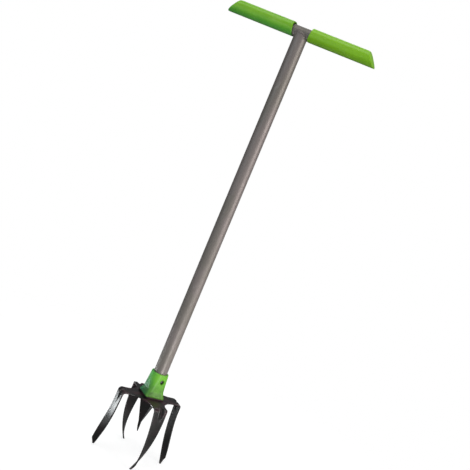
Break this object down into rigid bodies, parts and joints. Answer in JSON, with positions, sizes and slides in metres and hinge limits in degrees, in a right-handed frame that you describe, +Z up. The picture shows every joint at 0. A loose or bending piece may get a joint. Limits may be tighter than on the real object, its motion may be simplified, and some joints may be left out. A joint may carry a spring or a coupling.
{
  "type": "hand soil aerator",
  "caption": "Twist-action soil aerator: long steel tube with a cross handle in moulded grips, over a head of twisted tines round a centre spike.",
  "frame": {"origin": "on the tube's axis, at the level of the tine tips that the tool stands on", "axes": "+Z up along the tube towards the handle, X along the cross bar, the tines point along the diagonals of X and Y"},
  "size_m": [0.3198, 0.1378, 0.9489],
  "materials": {
    "tube_paint": "satin warm grey",
    "lime_plastic": "semi-gloss lime green",
    "zinc_steel": "zinc plated",
    "black_steel": "black oxide",
    "weld_metal": "painted weld bead",
    "head_paint": "satin black"
  },
  "bodies": {
    "root": {"shaft_tube": "tube_paint", "cross_bar": "tube_paint", "tee_weld": "tube_paint", "left_grip": "lime_plastic", "right_grip": "lime_plastic", "ferrule": "lime_plastic", "ferrule_bolt": "black_steel", "ferrule_nut": "black_steel", "spigot": "zinc_steel", "spigot_weld": "weld_metal", "hub_plate": "head_paint", "tine_front_right": "head_paint", "tine_rear_right": "head_paint", "tine_rear_left": "head_paint", "tine_front_left": "head_paint", "seam_weld_front": "weld_metal", "seam_weld_right": "weld_metal", "seam_weld_rear": "weld_metal", "seam_weld_left": "weld_metal", "centre_spike": "head_paint", "spike_weld": "weld_metal"}
  },
  "joints": []
}
